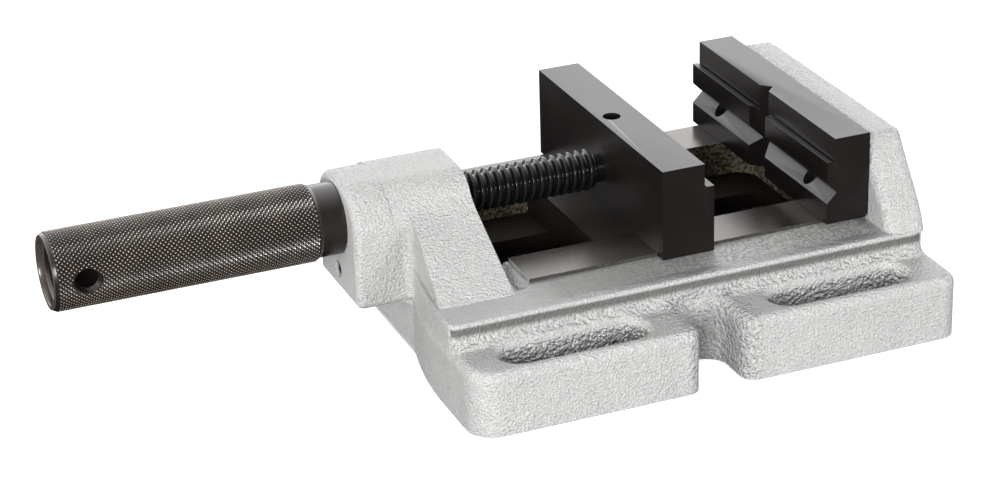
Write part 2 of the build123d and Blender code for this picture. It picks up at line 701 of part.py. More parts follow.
# Two low-headed screws hold the keeper plate up to the tongue.
with BuildPart() as keeper_screws:
    for x in (keeper_screw_front, keeper_screw_rear):
        place = Plane(origin=(x, 0, keeper_top - keeper_thickness), z_dir=(0, 0, -1))
        add(cap_screw(place, keeper_screw_thread, keeper_thickness + keeper_screw_depth,
                      keeper_head, keeper_head_height, keeper_socket))
keeper_screws.part.label = "keeper_screws"
export_step(keeper_screws.part.moved(home), "parts/keeper_screws.step")
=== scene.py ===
"""Looks for a drill press vise: silver-grey cast base, blackened jaws, trapezoidal screw, knurled handle."""
import bpy
from math import pi, radians
from mathutils import Matrix, Vector


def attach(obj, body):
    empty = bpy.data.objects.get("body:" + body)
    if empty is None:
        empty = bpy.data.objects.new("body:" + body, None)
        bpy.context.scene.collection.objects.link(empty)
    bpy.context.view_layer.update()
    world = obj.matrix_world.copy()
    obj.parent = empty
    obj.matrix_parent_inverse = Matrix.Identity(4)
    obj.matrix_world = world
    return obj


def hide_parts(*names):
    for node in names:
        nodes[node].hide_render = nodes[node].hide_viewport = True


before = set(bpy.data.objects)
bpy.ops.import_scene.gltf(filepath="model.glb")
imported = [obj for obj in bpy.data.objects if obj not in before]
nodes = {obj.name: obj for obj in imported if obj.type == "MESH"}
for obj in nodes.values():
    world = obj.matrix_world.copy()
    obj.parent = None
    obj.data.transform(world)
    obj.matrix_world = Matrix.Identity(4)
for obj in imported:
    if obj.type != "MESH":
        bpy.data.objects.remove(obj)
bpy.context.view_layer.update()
bpy.ops.object.select_all(action="DESELECT")

# The table and the light: a white studio sweep under soft lamps. It looks white all round the vise, stays
# dark in the slit under it, and shows blackened steel a darker strip of itself. The camera stands at the
# handle's side and above, and its place and lens are worked out from the vise's own corners.
SWEEP_SIZE, SWEEP_DROP = 6, 0.0002
SWEEP_GREY, SWEEP_BOUNCE, SWEEP_LIFT = (0.86, 0.86, 0.86, 1), (0.52, 0.52, 0.52, 1), 0.70
SWEEP_NEAR_Y, SWEEP_FAR_Y = -0.4, 0.6
SWEEP_MIRRORED = ((0.20, 0.36), (0.36, 0.012), (0.62, 0.012), (0.78, 0.50))
UNDER_X, UNDER_Y = (0.0, 0.0800), (0.0640, 0.0540)
ROOM_BEFORE, ROOM_BEHIND, ROOM_LEVEL, ROOM_ABOVE = 0.10, 3.2, 0.50, 0.10
SWEEP_MIDDLE = (-0.02, 0.06, 0)
LENS, SENSOR = 101.11, 36
CAMERA_PLACE = (-0.35418, -0.71554, 0.41360)
CAMERA_TURN, CAMERA_DOWN, CAMERA_ROLL = -21.6512, 24.6504, -1.7908


def new_finish(name):
    """A material with its node tree and its shader."""
    finish = bpy.data.materials.new(name)
    finish.use_nodes = True
    return finish, finish.node_tree, finish.node_tree.nodes["Principled BSDF"]


def add(tree, kind, **values):
    """A node with its settings and its inputs' values."""
    node = tree.nodes.new(kind)
    for key, value in values.items():
        if hasattr(node, key):
            setattr(node, key, value)
        else:
            node.inputs[key.replace("_", " ")].default_value = value
    return node


def feed(tree, socket, value):
    """Links or sets one input."""
    if isinstance(value, bpy.types.NodeSocket):
        tree.links.new(value, socket)
    else:
        socket.default_value = value


def places(tree, kind="Object"):
    """A piece's coordinates, whole and as X, Y and Z."""
    whole = add(tree, "ShaderNodeTexCoord").outputs[kind]
    parts = add(tree, "ShaderNodeSeparateXYZ")
    feed(tree, parts.inputs[0], whole)
    return whole, *parts.outputs


def maths(tree, operation, *values):
    """A math node's output."""
    node = tree.nodes.new("ShaderNodeMath")
    node.operation = operation
    for socket, value in zip(node.inputs, values):
        feed(tree, socket, value)
    return node.outputs[0]


def near(tree, value, middle, reach):
    """Where a value lies within a reach of the middle."""
    return maths(tree, "COMPARE", value, middle, reach)


def where_all(tree, *masks):
    """Where all the masks hold."""
    whole = masks[0]
    for mask in masks[1:]:
        whole = maths(tree, "MULTIPLY", whole, mask)
    return whole


def blend(tree, amount, first, second, kind="RGBA"):
    """Two colours or values mixed by an amount."""
    node = tree.nodes.new("ShaderNodeMix")
    node.data_type = kind
    ends = [socket for socket in node.inputs if socket.enabled]
    for socket, value in zip(ends, (amount, first, second)):
        feed(tree, socket, value)
    return [socket for socket in node.outputs if socket.enabled][0]


bpy.ops.mesh.primitive_plane_add(size=SWEEP_SIZE, location=(0, 0, -SWEEP_DROP))
sweep = bpy.context.object
sweep.name = "floor"
finish, tree, shader = new_finish("white_sweep")
shader.inputs["Roughness"].default_value = 0.9
shader.inputs["Specular IOR Level"].default_value = 0.1
shader.inputs["Emission Color"].default_value = (1, 1, 1, 1)
ray = add(tree, "ShaderNodeLightPath")
_, x, y, _ = places(tree)
under_vise = where_all(tree, near(tree, y, *UNDER_Y), near(tree, x, *UNDER_X))
round_vise = maths(tree, "MAXIMUM", 0.0, maths(tree, "SUBTRACT", ray.outputs["Is Camera Ray"], under_vise))
feed(tree, shader.inputs["Emission Strength"], maths(tree, "MULTIPLY", round_vise, SWEEP_LIFT))
backwards = add(tree, "ShaderNodeMapRange", From_Min=SWEEP_NEAR_Y, From_Max=SWEEP_FAR_Y)
feed(tree, backwards.inputs["Value"], y)
mirrored = add(tree, "ShaderNodeValToRGB")
for stop_place, grey in SWEEP_MIRRORED:
    stop = mirrored.color_ramp.elements.new(stop_place)
    stop.color = (grey, grey * 0.97, grey * 0.94, 1)
for spare in (0, -1):
    mirrored.color_ramp.elements.remove(mirrored.color_ramp.elements[spare])
feed(tree, mirrored.inputs[0], backwards.outputs[0])
shade = blend(tree, ray.outputs["Is Glossy Ray"], SWEEP_GREY, mirrored.outputs["Color"])
shade = blend(tree, ray.outputs["Is Diffuse Ray"], shade, SWEEP_BOUNCE)
feed(tree, shader.inputs["Base Color"], shade)
sweep.data.materials.append(finish)

world = bpy.data.worlds.new("studio")
bpy.context.scene.world = world
world.use_nodes = True
tree = world.node_tree
ray = add(tree, "ShaderNodeLightPath")
_, _, y, z = places(tree, "Generated")
behind = add(tree, "ShaderNodeMapRange", From_Min=-0.6, From_Max=0.5, To_Min=ROOM_BEFORE, To_Max=ROOM_BEHIND)
feed(tree, behind.inputs["Value"], y)
overhead = add(tree, "ShaderNodeMapRange", To_Min=ROOM_LEVEL, To_Max=ROOM_ABOVE)
feed(tree, overhead.inputs["Value"], z)
room = blend(tree, ray.outputs["Is Glossy Ray"], overhead.outputs[0], behind.outputs[0], "FLOAT")
room = blend(tree, ray.outputs["Is Camera Ray"], room, 1.0, "FLOAT")
feed(tree, tree.nodes["Background"].inputs["Strength"], room)
feed(tree, tree.nodes["Background"].inputs["Color"], (1, 1, 1, 1))


def softbox(name, place, aim, width, height, power, reflected):
    """A soft rectangular lamp that looks at a point and may be kept out of reflections."""
    lamp = bpy.data.lights.new(name, "AREA")
    lamp.shape = "RECTANGLE"
    lamp.size = width
    lamp.size_y = height
    lamp.energy = power
    holder = bpy.data.objects.new(name, lamp)
    bpy.context.scene.collection.objects.link(holder)
    holder.visible_glossy = reflected
    holder.location = place
    holder.rotation_euler = (Vector(aim) - Vector(place)).to_track_quat("-Z", "Y").to_euler()


softbox("overhead_softbox", (0.1, 0.5, 1.0), SWEEP_MIDDLE, 1.0, 0.8, 0.4, False)
softbox("key_softbox", (-0.85, -1.25, 0.53), (-0.02, 0.06, 0.02), 0.45, 0.45, 19.5, True)
softbox("fill_softbox", (0.6, -1.2, 0.40), (0.02, 0.04, 0.02), 0.8, 0.5, 12, False)
softbox("left_softbox", (-1.3, -0.35, 0.30), (-0.05, 0.06, 0.02), 0.6, 0.5, 8, False)
softbox("back_softbox", (0.5, 1.3, 0.35), (0.0, 0.06, 0.02), 0.9, 0.5, 11, False)

camera = bpy.data.objects.new("camera", bpy.data.cameras.new("camera"))
bpy.context.scene.collection.objects.link(camera)
camera.data.lens = LENS
camera.data.sensor_width = SENSOR
camera.data.clip_end = 20
camera.matrix_world = (Matrix.Translation(CAMERA_PLACE) @ Matrix.Rotation(radians(CAMERA_TURN), 4, "Z")
                       @ Matrix.Rotation(radians(90 - CAMERA_DOWN), 4, "X")
                       @ Matrix.Rotation(radians(CAMERA_ROLL), 4, "Z"))
bpy.context.scene.camera = camera
bpy.context.scene.view_settings.view_transform = "Standard"

# Body: iron cast in sand under silver-grey paint that follows the sand's grain, coarser in the slots and the
# notch. The ways and the land beside them are milled bare, the channel's walls stay rough and brown over a
# smooth floor, and the foot of the land's step is darkened with painted shade.
AXIS_Y, AXIS_Z = 0.0745, 0.0431
WAY_Z, LAND_Z, LUG_Z, WAY_SIDE, WAY_END_X = 0.0305, 0.0293, 0.0215, 0.0457, 0.0706
BARE_ASIDE, BARE_FRONT_X, BARE_REAR_X = (0.0665, 0.0610), (-0.0520, -0.0380), (0.0740, 0.0680)
CHANNEL_SIDE, CHANNEL_TOP_Z, CHANNEL_END_X, CHANNEL_FLOOR_Z = 0.0283, 0.0303, 0.0665, 0.0182
SLOT_X, SLOT_REACH, SLOT_HALF_WIDTH = 0.0465, 0.0265, 0.0085
NOTCH_X, NOTCH_Y, NOTCH_Z = (0.0150, 0.0100), (0.0110, 0.0080), (0.0262, 0.0225)
HOLLOW_FOOT_Z, HOLLOW_TOP_Z, HOLLOW_Y = (0.0217, 0.0223), (0.0262, 0.0250), 0.0096
STEP_FOOT_Z, STEP_TOP_Z, STEP_Y = (0.0243, 0.0262), (0.0286, 0.0275), 0.0095
BOSS_FACE_X = -0.0970
ON_FACE = 0.0002
BLISTER, LUMP = 1 / 1450, 1 / 820
MOTTLE, RAGGED, SPECKLE, CUTTER_LINE, SAND, SWELL = 0.016, 0.003, 0.0008, 0.0005, 0.0013, 0.0045
BETWEEN_BLISTERS, ON_BLISTERS = (0.30, 0.14), (0.32, 0.46)
SPECKLE_EDGE, SAND_EDGE = (0.36, 0.62), (0.36, 0.64)
PAINT_ROUGH, WAY_ROUGH, LAND_ROUGH, CHANNEL_ROUGHER, SLOT_SMOOTHER = 0.37, 0.16, 0.46, 0.25, 0.16
PAINT_METAL, SLOT_METAL, WAY_METAL, LAND_METAL = 0.10, 0.4, 0.85, 0.10
BLISTER_RISE, SWELL_RISE, SLOT_RISE, NOTCH_RISE, HOLLOW_RISE = 0.80, 0.60, 2.4, 1.9, 1.5
SAND_RISE, LINE_RISE, FACE_CALM, LAND_CALM = 1.4, 0.012, 0.6, 0.45
PAINT_GREY, PAINT_LIGHT = (0.48, 0.48, 0.475, 1), (0.58, 0.58, 0.57, 1)
PAINTED_SHADE_BETWEEN_BLISTERS, PAINTED_HIGHLIGHT_ON_BLISTERS, PAINTED_SHADE_AT_STEP_FOOT = (0.22, 0.22, 0.215, 1), (0.80, 0.80, 0.79, 1), (0.11, 0.11, 0.105, 1)
PAINTED_SHADE_ON_LUGS, PAINT_LAND, PAINT_SLOTS = (0.30, 0.30, 0.295, 1), (0.42, 0.42, 0.415, 1), (0.62, 0.62, 0.61, 1)
WAY_DARK, WAY_LIGHT, WAY_STEP_STEEL_AND_SHADE = (0.062, 0.056, 0.051, 1), (0.102, 0.095, 0.088, 1), (0.055, 0.053, 0.050, 1)
LAND_FRONT = (0.19, 0.187, 0.18, 1), (0.33, 0.327, 0.32, 1)
LAND_REAR_SHEEN = (0.24, 0.237, 0.23, 1), (0.50, 0.497, 0.49, 1)
SAND_DARK, SAND_LIGHT = (0.028, 0.023, 0.016, 1), (0.26, 0.22, 0.16, 1)
FLOOR_DARK, FLOOR_LIGHT = (0.009, 0.0065, 0.0055, 1), (0.024, 0.018, 0.015, 1)


def fade(tree, value, low, high):
    """A soft rise from 0 to 1 between two values, or a fall if the first is the larger."""
    node = add(tree, "ShaderNodeMapRange", interpolation_type="SMOOTHSTEP")
    feed(tree, node.inputs["From Min"], min(low, high))
    feed(tree, node.inputs["From Max"], max(low, high))
    if low > high:
        feed(tree, node.inputs["To Min"], 1)
        feed(tree, node.inputs["To Max"], 0)
    feed(tree, node.inputs["Value"], value)
    return node.outputs[0]


def noise(tree, vector, size, detail=2.0, **values):
    """Cloudy noise whose patches are about the given size in metres."""
    node = add(tree, "ShaderNodeTexNoise", Scale=1 / size, Detail=detail, **values)
    feed(tree, node.inputs["Vector"], vector)
    return node.outputs[0]


def stretched(tree, vector, scale):
    """Coordinates stretched along the axes."""
    node = add(tree, "ShaderNodeMapping", Scale=scale)
    feed(tree, node.inputs["Vector"], vector)
    return node.outputs[0]


def grains(tree, vector, size, softness, depth, push, push_size, cloud_size, cloud_detail):
    """Rounded grains of one size, pushed out of their cells and roughened by clouds."""
    clouds = add(tree, "ShaderNodeTexNoise", Scale=1 / push_size, Detail=1.0)
    feed(tree, clouds.inputs["Vector"], vector)
    pushed = add(tree, "ShaderNodeVectorMath", operation="MULTIPLY_ADD")
    feed(tree, pushed.inputs[0], clouds.outputs["Color"])
    feed(tree, pushed.inputs[1], (push, push, push))
    feed(tree, pushed.inputs[2], vector)
    cells = add(tree, "ShaderNodeTexVoronoi", feature="SMOOTH_F1", Scale=1 / size, Smoothness=softness)
    feed(tree, cells.inputs["Vector"], pushed.outputs[0])
    rough = noise(tree, vector, cloud_size, cloud_detail)
    return maths(tree, "MULTIPLY_ADD", cells.outputs["Distance"], -depth, rough)


finish, tree, shader = new_finish("cast_and_milled")
place, x, y, z = places(tree)
lean = add(tree, "ShaderNodeSeparateXYZ")
feed(tree, lean.inputs[0], add(tree, "ShaderNodeNewGeometry").outputs["True Normal"])
level = fade(tree, lean.outputs["Z"], 0.9, 0.98)
upright = maths(tree, "SUBTRACT", 1.0, level)
aside = maths(tree, "ABSOLUTE", maths(tree, "SUBTRACT", y, AXIS_Y))
from_middle = maths(tree, "ABSOLUTE", x)
mottle = noise(tree, place, MOTTLE, 4.0)
ragged = noise(tree, place, RAGGED, 4.0)
cutter = noise(tree, stretched(tree, place, (0.05, 1, 1)), CUTTER_LINE)
speckle = fade(tree, noise(tree, place, SPECKLE, 3.0), *SPECKLE_EDGE)
blisters = grains(tree, place, BLISTER, softness=0.7, depth=0.55, push=0.0003, push_size=0.0008,
                  cloud_size=0.0008, cloud_detail=1.5)
lumps = grains(tree, place, LUMP, softness=0.6, depth=0.6, push=0.0005, push_size=0.0011,
               cloud_size=0.0014, cloud_detail=2.0)
sand_grain = noise(tree, place, SAND, 4.0, Roughness=0.6)
# Where each surface lies
way = where_all(tree, level, near(tree, z, WAY_Z, ON_FACE), maths(tree, "LESS_THAN", x, WAY_END_X))
way_step = where_all(tree, upright, near(tree, z, (WAY_Z + LAND_Z) / 2, 0.0007),
                     near(tree, aside, WAY_SIDE, 0.0004))
land = where_all(tree, level, near(tree, z, LAND_Z, 0.0010))
ragged_x = maths(tree, "MULTIPLY_ADD", ragged, 0.006, x)
bare_land = where_all(tree, level, near(tree, z, LAND_Z, ON_FACE),
                      fade(tree, maths(tree, "MULTIPLY_ADD", ragged, 0.005, aside), *BARE_ASIDE),
                      fade(tree, ragged_x, *BARE_FRONT_X), fade(tree, ragged_x, *BARE_REAR_X))
underside = where_all(tree, maths(tree, "LESS_THAN", lean.outputs["Z"], -0.98),
                      maths(tree, "LESS_THAN", z, 0.0005))
milled = maths(tree, "MAXIMUM", maths(tree, "MAXIMUM", way, underside), bare_land)
unmilled = maths(tree, "SUBTRACT", 1.0, milled)
channel = where_all(tree, maths(tree, "LESS_THAN", aside, CHANNEL_SIDE),
                    maths(tree, "LESS_THAN", z, CHANNEL_TOP_Z), near(tree, x, 0.0, CHANNEL_END_X),
                    maths(tree, "SUBTRACT", 1.0, underside))
wall = where_all(tree, channel, maths(tree, "GREATER_THAN", z, CHANNEL_FLOOR_Z), upright)
slot = where_all(tree, near(tree, y, 0.0, SLOT_HALF_WIDTH), fade(tree, z, LUG_Z - 0.0005, LUG_Z - 0.0030),
                 near(tree, from_middle, SLOT_X, SLOT_REACH))
lug_top = where_all(tree, level, maths(tree, "LESS_THAN", z, LUG_Z + 0.0040))
notch = where_all(tree, fade(tree, from_middle, *NOTCH_X), fade(tree, y, *NOTCH_Y), fade(tree, z, *NOTCH_Z))
hollow = where_all(tree, fade(tree, z, *HOLLOW_FOOT_Z), fade(tree, z, *HOLLOW_TOP_Z),
                   maths(tree, "LESS_THAN", y, HOLLOW_Y))
step_foot = where_all(tree, fade(tree, z, *STEP_FOOT_Z), fade(tree, z, *STEP_TOP_Z),
                      near(tree, y, STEP_Y, 0.0012))
painted = where_all(tree, maths(tree, "SUBTRACT", 1.0, channel), unmilled)
# Colour: painted shade between the paint's blisters and a painted highlight on their tops
paint = blend(tree, mottle, PAINT_GREY, PAINT_LIGHT)
between, highlight_on_blisters = fade(tree, blisters, *BETWEEN_BLISTERS), fade(tree, blisters, *ON_BLISTERS)
# The lug tops are darkened with painted shade.
for share, mask, tint in ((0.35, lug_top, PAINTED_SHADE_ON_LUGS), (0.16, between, PAINTED_SHADE_BETWEEN_BLISTERS),
                          # The foot of the land's step is darkened with painted shade, in its crease.
                          (0.18, highlight_on_blisters, PAINTED_HIGHLIGHT_ON_BLISTERS), (1.0, land, PAINT_LAND), (0.9, step_foot, PAINTED_SHADE_AT_STEP_FOOT),
                          # The ways' milled step face is near black: partly the steel's own dark tone, partly
                          # painted shade.
                          (0.6, slot, PAINT_SLOTS), (1.0, way_step, WAY_STEP_STEEL_AND_SHADE)):
    paint = blend(tree, maths(tree, "MULTIPLY", mask, share), paint, tint)
worn_land = maths(tree, "MULTIPLY_ADD", speckle, 0.4, maths(tree, "MULTIPLY", ragged, 0.6))
land_front, land_rear_sheen = blend(tree, worn_land, *LAND_FRONT), blend(tree, speckle, *LAND_REAR_SHEEN)
# Towards the rear the bare land is painted lighter over its speckle: a painted sheen.
bare = blend(tree, fade(tree, x, -0.030, 0.020), land_front, land_rear_sheen)
bare = blend(tree, bare_land, blend(tree, cutter, WAY_DARK, WAY_LIGHT), bare)
sand = blend(tree, fade(tree, sand_grain, *SAND_EDGE), SAND_DARK, SAND_LIGHT)
inside = blend(tree, wall, blend(tree, cutter, FLOOR_DARK, FLOOR_LIGHT), sand)
feed(tree, shader.inputs["Base Color"], blend(tree, milled, blend(tree, channel, paint, inside), bare))
# Gloss: bright on the ways, soft on the paint and dull in the channel
bare_rough = blend(tree, bare_land, WAY_ROUGH, LAND_ROUGH, "FLOAT")
roughness = blend(tree, milled, maths(tree, "MULTIPLY_ADD", mottle, 0.14, PAINT_ROUGH),
                  maths(tree, "MULTIPLY_ADD", cutter, 0.12, bare_rough), "FLOAT")
roughness = maths(tree, "MULTIPLY_ADD", slot, -SLOT_SMOOTHER, roughness)
roughness = maths(tree, "MULTIPLY_ADD", where_all(tree, channel, unmilled), CHANNEL_ROUGHER, roughness)
feed(tree, shader.inputs["Roughness"], roughness)
feed(tree, shader.inputs["Specular IOR Level"], blend(tree, channel, 0.38, 0.08, "FLOAT"))
metal_in_paint = maths(tree, "MULTIPLY_ADD", slot, SLOT_METAL, PAINT_METAL)
bare_metal = where_all(tree, milled, blend(tree, bare_land, WAY_METAL, LAND_METAL, "FLOAT"))
feed(tree, shader.inputs["Metallic"], maths(tree, "MULTIPLY_ADD", painted, metal_in_paint, bare_metal))
# Relief in millimetres: blisters in the paint, calmer on the boss's face and the land, lumps in the slots and
# the notch, sand on the channel's walls and the cutter's lines on the ways
swell = noise(tree, place, SWELL, 2.0)
boss_face = maths(tree, "LESS_THAN", x, BOSS_FACE_X)
calm = where_all(tree, maths(tree, "MULTIPLY_ADD", boss_face, -FACE_CALM, 1.0),
                 maths(tree, "MULTIPLY_ADD", land, -LAND_CALM, 1.0))
skin = maths(tree, "MULTIPLY_ADD", blisters, BLISTER_RISE, maths(tree, "MULTIPLY", swell, SWELL_RISE))
skin = where_all(tree, skin, calm, painted)
coarse = maths(tree, "MULTIPLY_ADD", hollow, HOLLOW_RISE, maths(tree, "MULTIPLY", slot, SLOT_RISE))
coarse = where_all(tree, lumps, maths(tree, "MULTIPLY_ADD", notch, NOTCH_RISE, coarse), painted)
pits = where_all(tree, sand_grain, wall, maths(tree, "MULTIPLY", wall, SAND_RISE))
lines = maths(tree, "MULTIPLY", where_all(tree, cutter, milled), LINE_RISE)
relief = add(tree, "ShaderNodeBump", Strength=1.0, Distance=0.001)
feed(tree, relief.inputs["Height"], maths(tree, "ADD", maths(tree, "ADD", skin, coarse),
                                          maths(tree, "ADD", pits, lines)))
feed(tree, shader.inputs["Normal"], relief.outputs[0])
nodes["body"].material_slots[0].material = finish

# Fixed jaw: a ground steel block, blackened, with a step and two V grooves. It is the plain solid with its
# edges broken by a fine bevel, as a grinder leaves them. The two screws that hold it from behind are black.
GROUND_EDGE = 0.00035
BLACK_DARK, BLACK_LIGHT = (0.004, 0.0035, 0.0032), (0.013, 0.0105, 0.0098)
SCREW_DARK, SCREW_LIGHT = (0.012, 0.012, 0.012), (0.045, 0.043, 0.042)
wear = bpy.data.node_groups.new("fine_wear", "ShaderNodeTree")
for name, kind in (("Cloud", "Float"), ("Grain", "Float"), ("Normal", "Vector")):
    wear.interface.new_socket(name, in_out="OUTPUT", socket_type="NodeSocket" + kind)
worn = wear.nodes.new("NodeGroupOutput")
place, _, _, _ = places(wear)
feed(wear, worn.inputs["Cloud"], noise(wear, place, 0.011, 5.0))
rubbed = noise(wear, stretched(wear, place, (1, 0.06, 1)), 0.0005)
feed(wear, worn.inputs["Grain"], rubbed)
relief = add(wear, "ShaderNodeBump", Strength=1.0, Distance=0.00003)
feed(wear, relief.inputs["Height"], rubbed)
feed(wear, worn.inputs["Normal"], relief.outputs[0])


def worn_metal(name, dark, light, smooth, rough, metallic, sheen=0.5):
    """A metal that varies softly between two colours and two degrees of polish."""
    finish, tree, shader = new_finish(name)
    cloud, grain, normal = add(tree, "ShaderNodeGroup", node_tree=wear).outputs
    mixed = maths(tree, "MULTIPLY_ADD", grain, 0.5, maths(tree, "MULTIPLY", cloud, 0.5))
    feed(tree, shader.inputs["Base Color"], blend(tree, mixed, (*dark, 1), (*light, 1)))
    feed(tree, shader.inputs["Roughness"], blend(tree, cloud, smooth, rough, "FLOAT"))
    feed(tree, shader.inputs["Normal"], normal)
    shader.inputs["Metallic"].default_value = metallic
    shader.inputs["Specular IOR Level"].default_value = sheen
    return finish


def own_copy(name, node, edge):
    """The solid of a CAD node as a piece of its own, with its edges broken."""
    piece = nodes[node].copy()
    piece.data = nodes[node].data.copy()
    bpy.context.scene.collection.objects.link(piece)
    piece.name = name
    piece.parent = None
    piece.matrix_world = nodes[node].matrix_world
    bpy.ops.object.select_all(action="DESELECT")
    piece.select_set(True)
    bpy.context.view_layer.objects.active = piece
    bpy.ops.object.transform_apply(location=True, rotation=True, scale=True)
    bpy.ops.object.mode_set(mode="EDIT")
    bpy.ops.mesh.select_all(action="SELECT")
    bpy.ops.mesh.remove_doubles(threshold=0.000002)
    bpy.ops.mesh.dissolve_limited(angle_limit=radians(1))
    bpy.ops.object.mode_set(mode="OBJECT")
    round_over = piece.modifiers.new("edge", "BEVEL")
    round_over.width = edge
    round_over.segments = 2
    round_over.limit_method = "ANGLE"
    round_over.angle_limit = radians(40)
    bpy.ops.object.modifier_apply(modifier="edge")
    bpy.ops.object.shade_smooth_by_angle(angle=radians(20))
    piece.data.materials.clear()
    return piece


blackened = worn_metal("blackened_steel", BLACK_DARK, BLACK_LIGHT, 0.26, 0.34, 0.0, 0.32)
fixed_jaw = own_copy("fixed_jaw_block", "fixed_jaw", GROUND_EDGE)
fixed_jaw.data.materials.append(blackened)
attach(fixed_jaw, "base")
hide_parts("fixed_jaw")
screw_black = worn_metal("screw_black", SCREW_DARK, SCREW_LIGHT, 0.22, 0.36, 0.2)
nodes["fixed_jaw_screws"].material_slots[0].material = screw_black

# Bearing: a bronze bush and a bright steel washer in the boss, with the blackened, flanged nut that turns in
# them. A bright pin in the nut's groove keeps it there, and a plated socket screw in the boss's front face
# keeps the pin.
SCREW_FACE_X, RIM_DEPTH, SOCKET_DEPTH = -0.0971, 0.0001, 0.0006
BRONZE_DARK, BRONZE_LIGHT = (0.36, 0.20, 0.07), (0.62, 0.40, 0.18)
BRIGHT_DARK, BRIGHT_LIGHT = (0.50, 0.50, 0.50), (0.78, 0.78, 0.77)
PLATED_DARK, PLATED_LIGHT, SOCKET_SHADE = (0.60, 0.60, 0.60), (0.86, 0.86, 0.85), (0.006, 0.006, 0.006, 1)
bronze = worn_metal("turned_bronze", BRONZE_DARK, BRONZE_LIGHT, 0.22, 0.38, 0.9)
nodes["bearing_bush"].material_slots[0].material = bronze
nodes["drive_nut"].material_slots[0].material = blackened
bright = worn_metal("bright_steel", BRIGHT_DARK, BRIGHT_LIGHT, 0.16, 0.30, 0.5)
for name in ("thrust_washer", "retaining_pin"):
    nodes[name].material_slots[0].material = bright
plated = worn_metal("socket_screw", PLATED_DARK, PLATED_LIGHT, 0.10, 0.22, 0.7)
tree = plated.node_tree
colour = tree.nodes["Principled BSDF"].inputs["Base Color"]
_, x, _, _ = places(tree)
# Below its rim the hex socket is painted black: painted shade in the hole.
socket_shade = fade(tree, x, SCREW_FACE_X + RIM_DEPTH, SCREW_FACE_X + SOCKET_DEPTH)
feed(tree, colour, blend(tree, socket_shade, colour.links[0].from_socket, SOCKET_SHADE))
nodes["pin_grub_screw"].material_slots[0].material = plated

# Spindle: a 14 by 3 trapezoidal screw of oiled steel, left-handed, with a plain neck that the moving jaw
# holds. One pitch of the thread's outline is run round and along the axis, and both ends are then turned off.
PITCH = 0.003
TURNS = 42
THREAD = ((0, 0.00678), (0.00014, 0.00693), (0.00034, 0.00699), (0.00076, 0.00699), (0.00096, 0.00693),
          (0.00110, 0.00678), (0.00155, 0.00541), (0.00168, 0.00532), (0.00242, 0.00532), (0.00255, 0.00541),
          (0.003, 0.00678))
SPINDLE_END, SHOULDER, NECK_END = -0.1243, -0.0069, 0.0087
CREST, ROOT_END, SHOULDER_ROOT, NECK, NECK_TIP = 0.0071, 0.0054, 0.0056, 0.005, 0.0042
RUBBED_CREST = 0.0068, 0.0072
OILED_DARK, OILED_LIGHT = (0.003, 0.003, 0.003, 1), (0.010, 0.0095, 0.009, 1)
CREST_BLACK = (0.020, 0.019, 0.018, 1)


def from_points(name, points, joined):
    """A piece drawn as points and the edges between them."""
    mesh = bpy.data.meshes.new(name)
    mesh.from_pydata(points, joined, [])
    piece = bpy.data.objects.new(name, mesh)
    bpy.context.scene.collection.objects.link(piece)
    bpy.ops.object.select_all(action="DESELECT")
    piece.select_set(True)
    bpy.context.view_layer.objects.active = piece
    return piece


def turned(name, outline, around=48):
    """A closed outline of places along the axis and radii, turned round the spindle's axis."""
    points = [(x, AXIS_Y, AXIS_Z + r) for x, r in outline]
    piece = from_points(name, points, [(i, (i + 1) % len(points)) for i in range(len(points))])
    bpy.ops.object.mode_set(mode="EDIT")
    bpy.ops.mesh.select_all(action="SELECT")
    bpy.ops.mesh.spin(steps=around, angle=2 * pi, center=(0, AXIS_Y, AXIS_Z), axis=(1, 0, 0))
    bpy.ops.mesh.select_all(action="SELECT")
    bpy.ops.mesh.remove_doubles(threshold=0.000001)
    bpy.ops.mesh.normals_make_consistent(inside=False)
    bpy.ops.object.mode_set(mode="OBJECT")
    return piece


def carve(piece, tool, operation):
    """Joins, cuts or trims a piece with a closed tool, which is then thrown away."""
    cut = piece.modifiers.new("cut", "BOOLEAN")
    cut.operation = operation
    cut.solver = "EXACT"
    cut.object = tool
    bpy.ops.object.select_all(action="DESELECT")
    piece.select_set(True)
    bpy.context.view_layer.objects.active = piece
    bpy.ops.object.modifier_apply(modifier="cut")
    bpy.data.objects.remove(tool)


links = [(i, i + 1) for i in range(len(THREAD) - 1)]
spindle = from_points("spindle_thread", [(x, 0, r) for x, r in THREAD], links)
run = spindle.modifiers.new("thread", "SCREW")
run.axis = "X"
run.screw_offset = PITCH
run.iterations = TURNS
run.steps = 40
run.render_steps = 40
run.angle = -2 * pi
run.use_merge_vertices = True
run.merge_threshold = 0.000002
bpy.ops.object.modifier_apply(modifier="thread")
bpy.ops.object.mode_set(mode="EDIT")
bpy.ops.mesh.select_all(action="SELECT")
bpy.ops.mesh.remove_doubles(threshold=0.000002)
bpy.ops.transform.translate(value=(SPINDLE_END - 0.005, AXIS_Y, AXIS_Z))
for cut_x, beyond in ((SPINDLE_END - 0.0004, False), (SHOULDER + 0.0004, True)):
    bpy.ops.mesh.select_all(action="SELECT")
    bpy.ops.mesh.bisect(plane_co=(cut_x, 0, 0), plane_no=(1, 0, 0), use_fill=True,
                        clear_outer=beyond, clear_inner=not beyond)
bpy.ops.mesh.select_all(action="SELECT")
bpy.ops.mesh.normals_make_consistent(inside=False)
bpy.ops.object.mode_set(mode="OBJECT")
lathe = turned("lathe", ((SPINDLE_END, 0), (SPINDLE_END, ROOT_END), (SPINDLE_END + 0.0017, CREST),
                         (SHOULDER - 0.0014, CREST), (SHOULDER, SHOULDER_ROOT), (SHOULDER, 0)))
carve(spindle, lathe, "INTERSECT")
neck = turned("neck", ((SHOULDER - 0.001, 0), (SHOULDER - 0.001, NECK), (NECK_END - 0.0008, NECK),
                       (NECK_END, NECK_TIP), (NECK_END, 0)))
